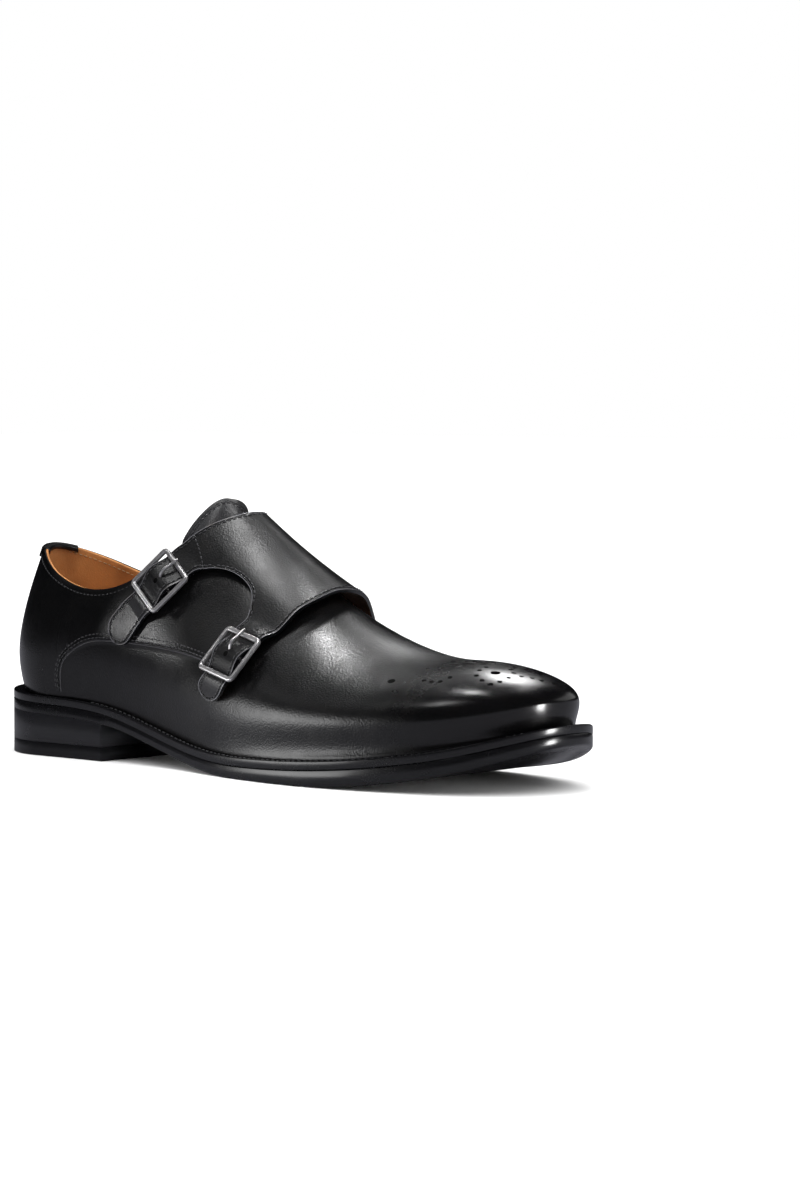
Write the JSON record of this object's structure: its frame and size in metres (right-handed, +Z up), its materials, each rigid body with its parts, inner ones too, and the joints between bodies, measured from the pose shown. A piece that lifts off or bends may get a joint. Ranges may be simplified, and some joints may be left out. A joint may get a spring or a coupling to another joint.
{
  "type": "double monk strap shoe",
  "caption": "Men's monk strap dress shoe with buckled straps on an arched instep flap, a medallion of small holes on the toe, a welted leather sole and a low block heel.",
  "frame": {"origin": "centre of the sole's outline in plan, on the floor", "axes": "+X from heel to toe, +Y towards the inner (medial) side of the foot, +Z up"},
  "size_m": [0.304, 0.1047, 0.1127],
  "materials": {
    "calf_upper": "polished black calf with a fine grain",
    "calf_tongue": "black calf, softer and less polished",
    "calf_strap": "polished black calf",
    "lining_tan": "matt tan lining leather",
    "sole_edge": "burnished black edge",
    "outsole_leather": "burnished black leather",
    "heel_stack": "satin black stacked leather",
    "heel_rubber": "matt black rubber",
    "dark_nickel": "polished dark nickel"
  },
  "bodies": {
    "root": {"outsole": "outsole_leather", "welt": "sole_edge", "heel_block": "heel_stack", "heel_top_piece": "heel_rubber", "upper": "calf_upper", "insole": "lining_tan", "tongue": "calf_tongue", "monk_flap": "calf_strap", "heel_tab": "calf_strap", "buckle_frame_upper": "dark_nickel", "buckle_prong_upper": "dark_nickel", "buckle_tab_upper": "calf_strap", "buckle_frame_lower": "dark_nickel", "buckle_prong_lower": "dark_nickel", "buckle_tab_lower": "calf_strap"}
  },
  "joints": []
}
